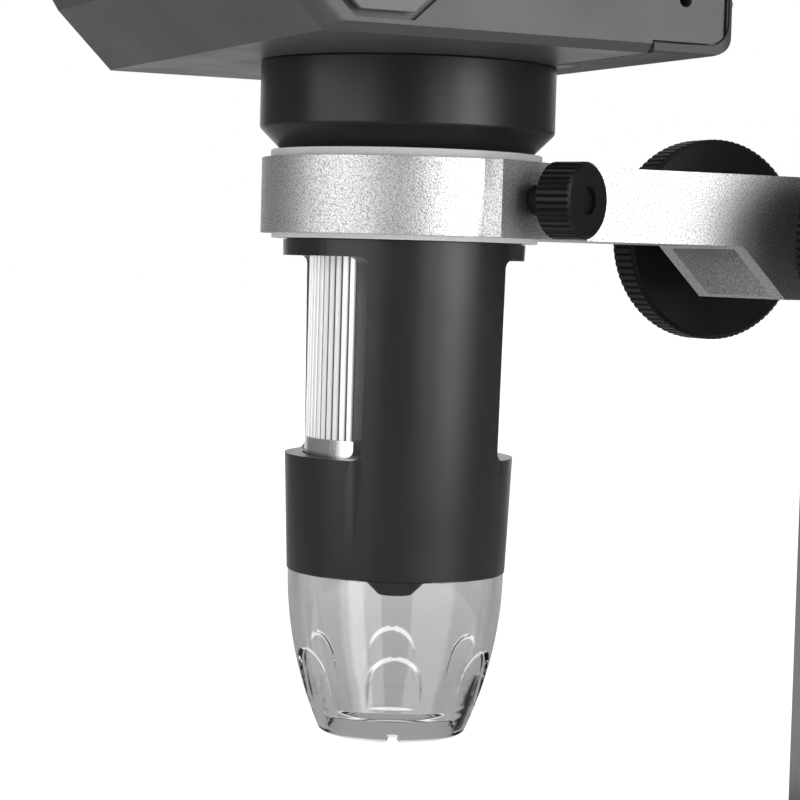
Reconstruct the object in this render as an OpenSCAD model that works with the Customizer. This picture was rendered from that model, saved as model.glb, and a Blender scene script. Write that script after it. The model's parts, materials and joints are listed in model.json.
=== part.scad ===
// LCD digital microscope: a screen head over a camera barrel, held by the
// ring of a metal arm that a rack and pinion lifts on a column with a base.
// +X is the user's right, +Y points from the user to the column, +Z is up.
// The origin is the middle of the base's footprint on the table.

/* [Base] */
// Width of the base plate
base_w = 125; // [118:1:160]
// Depth of the base plate
base_l = 190; // [176:1:240]
// Thickness of the base plate
base_t = 8; // [6:0.5:14]
// Radius of the base plate's corners
base_corner_r = 9; // [4:1:20]
// Chamfer round the top of the base plate
base_chamfer = 1.2; // [0.4:0.2:2.4]
// Distance from the column's middle to the base's rear edge
column_margin = 17.7; // [15:0.1:40]
// Diameter of a rubber foot
foot_d = 14; // [8:1:20]
// Height of a rubber foot below the base plate
foot_h = 3; // [2:0.5:6]
// Distance from the plate's edges to a foot's middle
foot_inset = 14; // [11:1:24]
// Diameter of the white stage disc let into the base
stage_d = 60; // [40:1:70]
// Thickness of the stage disc
stage_t = 2.4; // [1.6:0.2:4]

/* [Column and rack] */
// Distance from the optical axis to the column's middle
throat = 97.3; // [92:0.1:110]
// Width of the square column
column_w = 18; // [16:0.5:22]
// Length of the column above the base
column_h = 184; // [178:1:240]
// Bevel on the column's long edges
column_bevel = 1.5; // [0.5:0.25:2.5]
// Height of the cap on the column
cap_h = 4; // [3:0.5:8]
// Module of the rack and pinion teeth
gear_module = 0.8; // [0.7:0.05:0.9]
// Number of teeth on the pinion
pinion_teeth = 18; // [18:1:20]
// Width of the rack strip
rack_w = 7; // [5:0.5:9]
// Depth of the groove that the rack strip lies in
rack_base = 2; // [1.5:0.25:3]
// Length of the rack strip
rack_l = 96; // [90:1:100]
// Diameter of the two screws that hold the column
column_screw_d = 5; // [4:0.5:6]

/* [Arm] */
// Height of the ring's underside above the table
ring_z = 130; // [122:1:134]
// Outer diameter of the clamp ring
ring_d = 49; // [48:0.5:56]
// Height of the clamp ring and the arm
ring_h = 12.6; // [11:0.2:16]
// Wall of the clamp ring
ring_wall = 2.9; // [2.6:0.1:5]
// Width of the arm
arm_w = 28; // [26:0.5:32]
// Radius of the fillets between the ring and the arm
arm_fillet = 10; // [6:1:14]
// Drop of the carriage block below the arm
block_drop = 9.2; // [8:0.2:11]
// Metal behind the column in the carriage block
block_back = 7; // [5.5:0.5:10]
// Rim round the hollow under the arm
pocket_rim = 3.6; // [2.5:0.1:5]
// Direction of the thumb screw, from +X towards the column
thumb_angle = 29.5; // [26:0.5:34]
// Diameter of the thumb screw's knurled head
thumb_d = 12.6; // [10:0.2:12.6]
// Length of the thumb screw's knurled head
thumb_l = 6.6; // [5:0.2:10]
// Diameter of the thumb screw's thread
thumb_thread_d = 4; // [3:0.5:5]
// Width of the thumb screw's boss, up to where it runs into the arm
thumb_boss_w = 20; // [17:0.5:21]
// Height of the boss's flat face above the ring
thumb_boss_proud = 1.3; // [0.8:0.1:2]

/* [Focus knobs] */
// Diameter of a focus knob
knob_d = 38.8; // [34:0.2:42]
// Thickness of a focus knob
knob_t = 7.5; // [6:0.5:10]
// Distance from the arm's middle to a knob's inner face
knob_x = 26.4; // [23:0.2:32]
// Diameter of the hub behind a knob
hub_d = 13; // [10:0.5:16]
// Diameter of the pinion shaft
shaft_d = 6; // [5:0.5:7]
// Number of grooves round a knob
knob_grooves = 90; // [60:2:100]

/* [Barrel] */
// Outer diameter of the black neck
neck_d = 50; // [49:0.5:54]
// Height of the black neck
neck_h = 14.6; // [13:0.2:22]
// Bevel at the foot of the neck, measured inwards
neck_bevel = 3.5; // [2:0.1:4]
// Diameter of the barrel inside the ring
spigot_d = 40; // [39:0.2:40.6]
// Diameter of the flange under the ring
flange_d = 41.2; // [41:0.2:43]
// Diameter of the barrel at the collar's shoulder
collar_d = 38.9; // [37:0.1:41]
// Diameter at the collar's lower edge
collar_foot_d = 37.3; // [36.6:0.1:39]
// Height of the flange above the windows
flange_h = 2.7; // [2:0.1:5]
// Height of the two side windows
window_h = 33.4; // [28:0.2:38]
// Height of the collar under the windows
collar_h = 19.6; // [17:0.2:24]
// Distance from the axis to the flats that cut the windows
window_flat = 12; // [10:0.2:14]
// Turn of the windows from straight ahead
window_turn = -6; // [-10:1:10]
// Rounding of the windows' outer lips
window_lip_r = 1.4; // [0.6:0.1:1.6]
// Diameter of the ribbed focus wheel
wheel_d = 32; // [30:0.2:33]
// Number of ribs on the focus wheel
wheel_ribs = 66; // [48:2:72]
// Height of the plain band at the wheel's foot
wheel_band_h = 3.2; // [2:0.1:5]
// Wall of the focus wheel
wheel_wall = 1.8; // [1.4:0.1:2.2]
// Diameter of the bush's upper flange
bush_flange_d = 46; // [45:0.2:47]
// Thickness of the bush's upper flange
bush_flange_t = 1.4; // [1:0.1:2]
// Diameter of the lens tube
lens_d = 12.6; // [10:0.2:14]

/* [Clear nose] */
// Length of the clear nose below the collar
nose_l = 27.8; // [24:0.2:32]
// Diameter of the nose at its mouth
nose_mouth_d = 24.8; // [23:0.2:28]
// Wall of the clear nose
nose_wall = 1.6; // [1.2:0.1:2]
// Number of thumb scallops round the nose
scallops = 8; // [6:1:9]
// Width of a scallop
scallop_w = 8.4; // [6:0.2:9]
// Depth of a scallop
scallop_depth = 0.6; // [0.3:0.1:0.8]

/* [Screen head] */
// Length of the sloping screen face
face_l = 76; // [75:1:84]
// Tilt of the screen face above level
face_tilt = 32; // [26:1:36]
// Height of the slanted front below the screen face
slope_h = 10; // [9:0.5:13]
// Distance from the optical axis to the underside's front edge
under_front = 37; // [34:1:42]
// Distance from the optical axis to the rear wall
under_rear = 33; // [32:0.5:40]
// Height of the rear wall
rear_h = 39; // [36:1:44]
// Radius of the head's lower rear corner
rear_corner_r = 5.6; // [3:0.2:8]
// Wall of the head's housing
head_wall = 1.6; // [1.4:0.1:2.2]
// Width of the rear cover's share of the underside
rear_lap = 15.3; // [9:0.1:16]
// Thickness of the screen bezel
bezel_t = 3.2; // [2.6:0.1:4]
// Width of the screen window
screen_w = 86; // [80:0.5:92]
// Distance from the screen window to the head's side
screen_side = 7; // [6:0.5:10]
// Height of the screen window
screen_h = 50; // [46:0.5:51]
// Distance from the bezel's front edge to the screen window
screen_from_front = 20; // [19.5:0.5:21]
// Diameter of a menu key
key_d = 7.8; // [6:0.2:8.2]
// Spacing of the menu keys
key_pitch = 15; // [12:0.5:17]
// Distance from the bezel's front edge to the keys
key_from_front = 9.6; // [9.2:0.1:9.9]
// Height of a menu key above the bezel
key_proud = 1.2; // [1:0.1:1.6]
// Width of the side key's lower edge
side_key_w = 8.6; // [6:0.2:10]
// Height of the side key
side_key_h = 4.6; // [3.5:0.1:6]

/* [Hidden] */
$fn = 96;

// Clearances: pressed or screwed together, running, sliding, and seated apart
fit_gap = 0.05;
run_gap = 0.1;
slide_gap = 0.15;
seat_gap = 0.2;
key_gap = 0.3;
over = 1;

// Base and column
base_top = foot_h + base_t;
column_y = base_l / 2 - column_margin;
optic_y = column_y - throat;
stage_proud = 0.4;
stage_seat_z = base_top + stage_proud - stage_t;
foot_taper = 0.8;
screw_head_d = 1.7 * column_screw_d;
screw_head_h = 0.7 * column_screw_d;
column_screw_l = base_t + 2 * column_screw_d;
column_screw_pitch = column_w / 2;
cap_lip = 1;

// Travel of the carriage from the modelled height
lift_up = 40;
lift_down = 30;

// Rack and pinion
pitch_r = gear_module * pinion_teeth / 2;
tooth_add = gear_module;
tooth_ded = 1.25 * gear_module;
rack_add = 0.75 * gear_module;
tooth_pitch = PI * gear_module;
backlash = 0.16;
pressure = 20;
flank_steps = 5;
base_circle_r = pitch_r * cos(pressure);
root_r = pitch_r - tooth_ded;
tip_r = pitch_r + tooth_add;
rack_face_y = throat - column_w / 2;
pinion_y = rack_face_y - tooth_ded - pitch_r;
pinion_w = rack_w;
rack_low = (lift_up - lift_down - rack_l) / 2;
chamber_gap = 0.4;
chamber_r = tip_r + chamber_gap;
chamber_half = rack_w / 2 + chamber_gap;

// Arm and carriage, measured from the ring's underside on the optical axis
ring_r = ring_d / 2;
bore_r = ring_r - ring_wall;
fillet_x = arm_w / 2 + arm_fillet;
fillet_y = sqrt(pow(ring_r + arm_fillet, 2) - pow(fillet_x, 2));
block_mid = (ring_h - block_drop) / 2;
rack_bottom = ring_z + block_mid + rack_low;
block_rear = throat + column_w / 2 + slide_gap + block_back;
block_bevel = 1.2;
pocket_wall = 3.2;
pocket_lip = 0.5;
slant_y = pinion_y - chamber_r - pocket_wall - block_drop;
pocket_front = slant_y + pocket_lip;
pocket_back = slant_y + block_drop - pocket_lip;
pocket_roof = ring_h - pocket_rim;
gib_d = 5;
gib_l = 2;
gib_screw_d = 4;
gib_screw_l = block_back - gib_l;
gib_socket_depth = gib_screw_l / 3;

// Thumb screw, measured out from the optical axis
thumb_neck_l = 3.4;
thumb_neck_d = 0.4 * thumb_d;
thumb_boss_r = ring_r + thumb_boss_proud;
thumb_boss_end_y = (thumb_boss_r - arm_w / 2 * cos(thumb_angle)) / sin(thumb_angle);
thumb_neck_r = thumb_boss_r + seat_gap;
thumb_head_r = thumb_neck_r + thumb_neck_l;
thumb_grooves = 34;
thumb_groove_w = 0.6;
thumb_dimple_d = 0.36 * thumb_d;
thumb_dimple_depth = 0.8;
thumb_bevel = 0.5;

// Focus knobs, measured out from the arm's middle
hub_x = arm_w / 2 + key_gap;
knob_bevel = 0.8;
knob_groove_w = 0.7;
knob_dish_d = 0.62 * knob_d;
knob_dish_depth = 1.6;
knob_socket_depth = 0.7 * knob_t;

// Barrel heights, measured from the ring's underside, and radii
washer_t = 0.8;
washer_lip = 1;
washer_r = bore_r + washer_lip;
neck_z = ring_h + bush_flange_t + seat_gap;
under_z = neck_z + neck_h;
flange_z = -washer_t - seat_gap;
window_top = flange_z - flange_h;
collar_top = window_top - window_h;
nose_z = collar_top - collar_h;
spigot_r = spigot_d / 2;
flange_r = flange_d / 2;
collar_r = collar_d / 2;
collar_foot_r = collar_foot_d / 2;
neck_top_t = 2;
bush_slit = 1.5;
barrel_wall = 1.6;
wheel_gap = 0.4;
wheel_sunk = 0.5;
wheel_r = wheel_d / 2;
wheel_bore_r = wheel_r - wheel_wall;
wheel_pocket_r = wheel_r + wheel_gap;
wheel_z = collar_top - wheel_sunk;
wheel_top = flange_z - wheel_gap;
rib_groove_w = 0.5 * PI * wheel_d / wheel_ribs;
holder_pocket_r = wheel_pocket_r + 0.6 * wheel_gap + slide_gap;
holder_r = holder_pocket_r - slide_gap;
holder_bore_r = wheel_bore_r - barrel_wall;
holder_h = 9.4;
neck_spigot_r = holder_pocket_r + barrel_wall;
board_t = 1.6;
board_r = holder_r - barrel_wall;
sensor_size = 8;
sensor_t = 1.5;

// Lens tube and lamp ring
lens_r = lens_d / 2;
lens_wall = 1.1;
lens_flange_r = wheel_bore_r - wheel_gap;
lens_flange_t = 3;
lens_flange_drop = 16;
lens_flange_z = flange_z - lens_flange_drop;
lens_out = 1.2;
lens_tip_h = 3.2;
lens_tip_r = 2.9;
lens_eye_r = 1.8;
glass_r = 2.2;
glass_t = 1.1;
nose_spigot_h = 2;
led_z = nose_z + nose_spigot_h + seat_gap;
diaphragm_t = 2;
diaphragm_z = led_z + board_t + seat_gap;
diaphragm_r = lens_r + key_gap;
lens_well_r = wheel_bore_r - seat_gap;
led_count = 8;
led_size = 2.8;
led_t = 0.9;
led_ring_r = (diaphragm_r + wheel_bore_r) / 2;

// Clear nose: its outside is one arc that starts upright under the collar
nose_top_r = collar_foot_r - seat_gap;
nose_mouth_r = nose_mouth_d / 2;
nose_drop = nose_top_r - nose_mouth_r;
nose_arc_r = (pow(nose_l, 2) + pow(nose_drop, 2)) / (2 * nose_drop);
nose_spigot_r = wheel_r + run_gap;
scallop_top = 0.36 * nose_l;
scallop_foot = 0.85 * nose_l;
function nose_r(depth) = nose_top_r - nose_arc_r + sqrt(pow(nose_arc_r, 2) - pow(depth, 2));
scallop_in = nose_r(scallop_top) - scallop_depth;
scallop_run = scallop_foot - scallop_top;
scallop_tilt = atan((scallop_in - nose_r(scallop_foot)) / scallop_run);

// Screen head: its outline from the side starts at the underside's front edge
head_w = screen_w + 2 * screen_side;
face_start = [-under_front - slope_h, slope_h];
face_end = face_start + face_l * [cos(face_tilt), sin(face_tilt)];
head_points = [[-under_front, 0], [under_rear, 0], [under_rear, rear_h], face_end, face_start];
head_corner_r = 3;
head_bevel = 1.4;
cover_bevel = 0.4;
head_reach = face_l + under_front;
cover_y = under_rear - rear_lap;
tongue_w = 40;
tongue_l = 4.4;
seam_w = 0.35;
seam_depth = 0.6;
reset_hole_d = 2.2;
reset_hole_place = [under_rear - 9.9, 8.4];
cable_r = holder_bore_r;
boss_r = 3;
boss_l = 10;
boss_x = head_w / 2 - head_wall - 0.85 * boss_r;
boss_zs = [0.24 * rear_h, 0.8 * rear_h];
cover_screw_d = 2.4;
cover_screw_l = 9;
cover_head_d = 2 * cover_screw_d;
vent_count = 9;
vent_w = 1.6;
vent_h = 13;
vent_pitch = 4;
vent_z = rear_h / 2;
cover_head_h = 0.6 * head_wall;
face_rim = 1.4 * head_wall;

// Stack behind the bezel, and the keys in it
glass_cover_t = 0.75 * bezel_t;
lcd_t = 3.4;
lcd_rim = 3.5;
lcd_w = screen_w + 2 * lcd_rim;
lcd_l = screen_h + 2 * lcd_rim;
lcd_from_front = screen_from_front - lcd_rim;
main_w = lcd_w;
main_from_front = 2 * head_wall;
main_l = lcd_from_front + lcd_l - main_from_front;
key_flange_w = 0.9;
key_flange_t = 1;
key_travel = 0.8;
switch_gap = 0.1;
switch_size = 4.4;
switch_h = lcd_t - key_gap - key_flange_t - key_travel - switch_gap;
key_bevel = 0.5;
battery_w = 36;
battery_l = 32;
battery_t = 6;
battery_x = lcd_w / 2 - battery_w;
battery_from_front = 28;
usb_w = 9;
usb_t = 3.4;
usb_depth = 8;
usb_from_front = 25;
card_w = 15;
card_t = 2.4;
card_depth = 16;
card_from_front = 40;
socket_wall = 0.5;

// Side key: a plate with two sloping ends near the head's lower front corner
side_key_gap = 1.1;
side_key_rise = 3.2;
side_key_from_slope = 4.6;
side_key_flare_share = 1.1;
side_key_proud = 0.9;
side_key_travel = 0.8;
side_recess = 1;
side_key_t = side_key_proud + side_recess - side_key_travel - switch_gap;
side_stem_d = 2;
side_hook_d = 3.6;
side_hook_t = 0.4;
side_switch_t = 1.7;
side_board_w = 8;
side_board_t = 1.2;
side_key_y = side_key_from_slope + side_key_w / 2 - under_front;
side_key_z = side_key_rise + side_key_h / 2;
side_board_h = side_key_z + switch_size / 2 + side_board_t / 2 - head_wall;
side_hook_x = head_w / 2 - head_wall - key_gap - side_hook_t;
side_switch_x = side_hook_x - side_key_travel - switch_gap;

// A child at the ring's underside on the optical axis
module optic() {
    translate([0, optic_y, ring_z]) children();
}

// A child on the head's underside at the optical axis
module head() {
    optic() translate([0, 0, under_z]) children();
}

// A child on the sloping face: Y runs up the face and Z out of it
module face() {
    head() translate([0, face_start[0], face_start[1]]) rotate([face_tilt, 0, 0]) children();
}

// A Y-Z outline drawn along X
module along_x(x_from, x_to) {
    translate([x_from, 0, 0]) rotate([90, 0, 90]) linear_extrude(x_to - x_from) children();
}

// A cylinder along X on the pinion's axis
module on_pinion_axis(x_from, x_to, radius) {
    translate([x_from, pinion_y, block_mid]) rotate([0, 90, 0]) cylinder(h = x_to - x_from, r = radius);
}

module rounded_rect(w, l, r) {
    translate([-w / 2 + r, -l / 2]) square([w - 2 * r, l]);
    translate([-w / 2, -l / 2 + r]) square([w, l - 2 * r]);
    for (x = [-1, 1], y = [-1, 1]) translate([x * (w / 2 - r), y * (l / 2 - r)]) circle(r = r);
}

// A plate with round corners and a chamfer round its top
module bevelled_plate(w, l, t, r, bevel) {
    linear_extrude(t - bevel) rounded_rect(w, l, r);
    for (turn = [0, 90]) rotate(turn) {
        across = turn == 0 ? w : l;
        along = turn == 0 ? l : w;
        along_x(r - across / 2, across / 2 - r) polygon([
            [-along / 2, t - bevel], [along / 2, t - bevel],
            [along / 2 - bevel, t], [bevel - along / 2, t]
        ]);
    }
    for (x = [-1, 1], y = [-1, 1]) translate([x * (w / 2 - r), y * (l / 2 - r), t - bevel])
        cylinder(h = bevel, r1 = r, r2 = r - bevel);
}

// A round outline with V grooves cut into its rim
module grooved_disc(r, grooves, groove_w) {
    difference() {
        circle(r = r);
        for (i = [0 : grooves - 1]) rotate(i * 360 / grooves)
            translate([r, 0]) circle(r = groove_w / 2, $fn = 4);
    }
}

// Stand

module base_plate() {
    color("#2b2c2e") translate([0, 0, foot_h]) difference() {
        bevelled_plate(base_w, base_l, base_t, base_corner_r, base_chamfer);
        column_screw_places() translate([0, 0, -over]) {
            cylinder(h = base_t + 2 * over, d = column_screw_d + 2 * seat_gap);
            cylinder(h = screw_head_h + seat_gap + over, d = screw_head_d + 2 * seat_gap);
        }
        translate([0, optic_y, stage_seat_z - foot_h]) cylinder(h = base_t, d = stage_d + 2 * seat_gap);
    }
}

// The disc that the specimen lies on, let into the base under the nose
module stage_disc() {
    color("#e6e6e2") translate([0, optic_y, stage_seat_z]) cylinder(h = stage_t, d = stage_d);
}

module rubber_feet() {
    color("#1b1b1b")
    for (x = [-1, 1], y = [-1, 1])
        translate([x * (base_w / 2 - foot_inset), y * (base_l / 2 - foot_inset), 0])
            cylinder(h = foot_h, d1 = foot_d - foot_taper, d2 = foot_d);
}

module column_screw_places() {
    for (side = [-1, 1]) translate([side * column_screw_pitch / 2, column_y, 0]) children();
}

module column_screws() {
    color("#8d9094") translate([0, 0, foot_h + seat_gap]) column_screw_places() difference() {
        union() {
            cylinder(h = screw_head_h, d = screw_head_d);
            cylinder(h = column_screw_l, d = column_screw_d);
        }
        translate([0, 0, -over])
            cylinder(h = screw_head_h / 2 + over, d = column_screw_d, $fn = 6);
    }
}

// The column's square outline with bevelled corners, grown by a clearance
module column_outline(gap = 0) {
    half = column_w / 2 + gap;
    flat = half - column_bevel;
    polygon([
        [flat, -half], [half, -flat], [half, flat], [flat, half],
        [-flat, half], [-half, flat], [-half, -flat], [-flat, -half]
    ]);
}

module column() {
    color("#b9bcc0") difference() {
        translate([0, column_y, base_top]) linear_extrude(column_h) column_outline();
        translate([0, 0, foot_h + seat_gap]) column_screw_places()
            cylinder(h = column_screw_l + seat_gap, d = column_screw_d + 2 * fit_gap);
        translate([-rack_w / 2 - fit_gap, optic_y + rack_face_y - over, rack_bottom - fit_gap])
            cube([rack_w + 2 * fit_gap, rack_base + over, rack_l + 2 * fit_gap]);
    }
}

module column_cap() {
    color("#1c1c1e") translate([0, column_y, base_top + column_h])
        bevelled_plate(column_w + 2 * cap_lip, column_w + 2 * cap_lip, cap_h, column_bevel, cap_lip);
}

// One rack tooth, pointing towards the user, with its root on the column's face
module rack_tooth() {
    pitch_half = (tooth_pitch - backlash) / 4;
    root_half = pitch_half + tooth_ded * tan(pressure);
    tip_half = pitch_half - rack_add * tan(pressure);
    polygon([
        [0, -root_half], [0, root_half],
        [-tooth_ded - rack_add, tip_half], [-tooth_ded - rack_add, -tip_half]
    ]);
}

// A tooth stands level with the pinion's axis, and the others follow its pitch
module rack() {
    first = ceil((rack_low + tooth_pitch / 2) / tooth_pitch);
    last = floor((rack_low + rack_l - tooth_pitch / 2) / tooth_pitch);
    color("#c9a24c") optic() translate([0, rack_face_y, block_mid]) {
        translate([-rack_w / 2, 0, rack_low]) cube([rack_w, rack_base, rack_l]);
        along_x(-rack_w / 2, rack_w / 2)
            for (i = [first : last]) translate([0, i * tooth_pitch]) rack_tooth();
    }
}

// Carriage

// A point along and across the thumb screw's axis, as seen from above
function turned(along, across) = [
    along * cos(thumb_angle) - across * sin(thumb_angle),
    along * sin(thumb_angle) + across * cos(thumb_angle)
];

// Ring and arm from above: a fillet on one side, and on the other the thumb screw's
// flat boss, which runs straight into the arm
module arm_outline() {
    circle(r = ring_r);
    polygon([
        [arm_w / 2, 0], [arm_w / 2, block_rear - block_bevel],
        [arm_w / 2 - block_bevel, block_rear], [block_bevel - arm_w / 2, block_rear],
        [-arm_w / 2, block_rear - block_bevel], [-arm_w / 2, 0]
    ]);
    mirror([1, 0]) difference() {
        polygon([[0, 0], [fillet_x, fillet_y], [0, fillet_y]]);
        translate([fillet_x, fillet_y]) circle(r = arm_fillet);
    }
    polygon([
        turned(0, -thumb_boss_w / 2), turned(thumb_boss_r, -thumb_boss_w / 2),
        [arm_w / 2, thumb_boss_end_y], [0, thumb_boss_end_y]
    ]);
}

// The block that runs on the column, with its sloping front under the arm
module carriage_block() {
    intersection() {
        along_x(-arm_w / 2, arm_w / 2) polygon([
            [slant_y, 0], [slant_y + block_drop, -block_drop],
            [block_rear - block_bevel, -block_drop], [block_rear, block_bevel - block_drop],
            [block_rear, ring_h / 2], [slant_y, ring_h / 2]
        ]);
        translate([0, 0, -block_drop - over]) linear_extrude(ring_h + block_drop) arm_outline();
    }
}

module clamp_arm() {
    color("#b4b7bb") optic() difference() {
        union() {
            linear_extrude(ring_h) arm_outline();
            carriage_block();
        }
        translate([0, 0, -over]) cylinder(h = ring_h + 2 * over, r = bore_r);
        rotate(thumb_angle) translate([bore_r - over, 0, ring_h / 2]) rotate([0, 90, 0])
            cylinder(h = thumb_neck_r - bore_r + 2 * over, d = thumb_thread_d + 2 * run_gap);
        translate([0, throat, -block_drop - over])
            linear_extrude(ring_h + block_drop + 2 * over) column_outline(slide_gap);
        pinion_chamber();
        on_pinion_axis(-arm_w / 2 - over, arm_w / 2 + over, shaft_d / 2 + run_gap);
        translate([pocket_rim - arm_w / 2, pocket_front, -block_drop - over])
            cube([arm_w - 2 * pocket_rim, pocket_back - pocket_front, pocket_roof + block_drop + over]);
        translate([0, throat + column_w / 2, block_mid]) rotate([-90, 0, 0]) {
            cylinder(h = slide_gap + gib_l, d = gib_d + 2 * fit_gap);
            cylinder(h = block_rear, d = gib_screw_d + 2 * fit_gap);
        }
    }
}

// Room for the pinion, open to the column, and a slot that the rack's teeth pass through
module pinion_chamber() {
    on_pinion_axis(-chamber_half, chamber_half, chamber_r);
    translate([-chamber_half, pinion_y, block_mid - chamber_r])
        cube([2 * chamber_half, rack_face_y - pinion_y, 2 * chamber_r]);
    translate([-chamber_half, rack_face_y - tooth_ded - rack_add - chamber_gap, -block_drop - over])
        cube([2 * chamber_half, 2 * tooth_ded + chamber_gap, ring_h + block_drop + 2 * over]);
}

module gib_pad() {
    color("#e4e2d8") optic() translate([0, throat + column_w / 2 + slide_gap, block_mid])
        rotate([-90, 0, 0]) cylinder(h = gib_l, d = gib_d);
}

module gib_screw() {
    color("#33353a") optic() translate([0, throat + column_w / 2 + slide_gap + gib_l, block_mid])
        rotate([-90, 0, 0]) difference() {
            cylinder(h = gib_screw_l, d = gib_screw_d);
            translate([0, 0, gib_screw_l - gib_socket_depth])
                cylinder(h = gib_socket_depth + over, d = gib_screw_d / 2, $fn = 6);
        }
}

// The knurled screw that stops the barrel turning in the ring
module thumb_screw() {
    color("#161617") optic() rotate(thumb_angle) translate([0, 0, ring_h / 2]) rotate([0, 90, 0]) {
        translate([0, 0, bore_r + run_gap])
            cylinder(h = thumb_head_r - bore_r, d = thumb_thread_d);
        translate([0, 0, thumb_neck_r]) cylinder(h = thumb_neck_l, d = thumb_neck_d);
        translate([0, 0, thumb_head_r]) difference() {
            intersection() {
                linear_extrude(thumb_l) grooved_disc(thumb_d / 2, thumb_grooves, thumb_groove_w);
                rotate_extrude() polygon([
                    [0, 0], [thumb_d / 2 - thumb_bevel, 0], [thumb_d / 2, thumb_bevel],
                    [thumb_d / 2, thumb_l - thumb_bevel], [thumb_d / 2 - thumb_bevel, thumb_l],
                    [0, thumb_l]
                ]);
            }
            translate([0, 0, thumb_l - thumb_dimple_depth])
                cylinder(h = thumb_dimple_depth + over, d = thumb_dimple_d);
        }
    }
}

// Pinion shaft

function involute(angle) = tan(angle) * 180 / PI - angle;
pitch_half_angle = (tooth_pitch - backlash) / 4 / pitch_r * 180 / PI;
function flank_angle(r) = pitch_half_angle + involute(pressure) - involute(acos(base_circle_r / r));
function flank_point(r, side) = r * [cos(side * flank_angle(r)), sin(side * flank_angle(r))];

// One tooth of the pinion, about the X axis of its plane
module pinion_tooth() {
    flank = [for (i = [0 : flank_steps])
        base_circle_r + (tip_r - base_circle_r) * i / flank_steps];
    base_half = flank_angle(base_circle_r);
    polygon(concat(
        [(root_r - fit_gap) * [cos(base_half), -sin(base_half)]],
        [for (r = flank) flank_point(r, -1)],
        [for (i = [flank_steps : -1 : 0]) flank_point(flank[i], 1)],
        [(root_r - fit_gap) * [cos(base_half), sin(base_half)]]
    ));
}

module pinion() {
    color("#c9a24c") optic() translate([0, pinion_y, block_mid]) difference() {
        along_x(-pinion_w / 2, pinion_w / 2) {
            circle(r = root_r);
            for (i = [0 : pinion_teeth - 1]) rotate((i + 1 / 2) * 360 / pinion_teeth) pinion_tooth();
        }
        rotate([0, 90, 0]) cylinder(h = 2 * pinion_w, d = shaft_d, center = true);
    }
}

module pinion_shaft() {
    reach = knob_x + knob_socket_depth - seat_gap;
    color("#9b9ea3") optic() on_pinion_axis(-reach, reach, shaft_d / 2);
}

// A knob on the +X side: hub, grooved rim and a dished face
module focus_knob() {
    optic() translate([0, pinion_y, block_mid]) rotate([0, 90, 0]) difference() {
        union() {
            translate([0, 0, hub_x]) cylinder(h = knob_x - hub_x, d = hub_d);
            translate([0, 0, knob_x]) intersection() {
                linear_extrude(knob_t) grooved_disc(knob_d / 2, knob_grooves, knob_groove_w);
                rotate_extrude() polygon([
                    [0, 0], [knob_d / 2 - knob_bevel, 0], [knob_d / 2, knob_bevel],
                    [knob_d / 2, knob_t - knob_bevel], [knob_d / 2 - knob_bevel, knob_t], [0, knob_t]
                ]);
            }
        }
        translate([0, 0, knob_x + knob_t - knob_dish_depth])
            cylinder(h = knob_dish_depth + over, d1 = knob_dish_d, d2 = knob_dish_d + 2 * knob_dish_depth);
        translate([0, 0, hub_x - over])
            cylinder(h = knob_x + knob_socket_depth - hub_x + over, d = shaft_d);
    }
}

module focus_knob_right() {
    color("#141415") focus_knob();
}

module focus_knob_left() {
    color("#141415") mirror([1, 0, 0]) focus_knob();
}

// A split bush pressed into the ring, in which the barrel turns
module ring_bush() {
    color("#d9d8d2") optic() difference() {
        union() {
            cylinder(h = ring_h, r = bore_r - fit_gap);
            translate([0, 0, ring_h]) cylinder(h = bush_flange_t, d = bush_flange_d);
        }
        translate([0, 0, -over]) cylinder(h = neck_z + 2 * over, r = spigot_r + slide_gap);
        translate([-bush_slit / 2, 0, -over]) cube([bush_slit, bush_flange_d, neck_z + 2 * over]);
    }
}

module bush_washer() {
    color("#d9d8d2") optic() translate([0, 0, -washer_t]) difference() {
        cylinder(h = washer_t, r = washer_r);
        translate([0, 0, -over]) cylinder(h = washer_t + 2 * over, r = spigot_r + slide_gap);
    }
}

// Camera barrel

module neck_collar() {
    color("#131315") optic() rotate_extrude() polygon([
        [neck_spigot_r + seat_gap, neck_z], [neck_d / 2 - neck_bevel, neck_z],
        [neck_d / 2, neck_z + neck_bevel], [neck_d / 2, under_z],
        [cable_r, under_z], [cable_r, under_z - neck_top_t],
        [neck_spigot_r + seat_gap, under_z - neck_top_t]
    ]);
}

// Cutter for one window: its inner corners are rounded
module window() {
    reach = 2 * flange_r;
    translate([0, 0, collar_top]) along_x(-flange_r, flange_r)
        translate([window_flat + reach / 2, window_h / 2]) rounded_rect(reach, window_h, window_lip_r);
}

module barrel_body() {
    color("#17181a") optic() rotate(window_turn) difference() {
        rotate_extrude() polygon([
            [nose_top_r + seat_gap, nose_z], [collar_r, collar_top], [flange_r, flange_z],
            [spigot_r, flange_z], [spigot_r, neck_z], [neck_spigot_r, neck_z],
            [neck_spigot_r, under_z - neck_top_t - seat_gap],
            [holder_pocket_r, under_z - neck_top_t - seat_gap],
            [holder_pocket_r, flange_z], [wheel_pocket_r, flange_z], [wheel_pocket_r, wheel_z],
            [lens_well_r, wheel_z], [lens_well_r, diaphragm_z + diaphragm_t],
            [diaphragm_r, diaphragm_z + diaphragm_t], [diaphragm_r, diaphragm_z],
            [nose_spigot_r + fit_gap, diaphragm_z], [nose_spigot_r + fit_gap, nose_z]
        ]);
        for (turn = [0, 180]) rotate(turn) window();
    }
}

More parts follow.
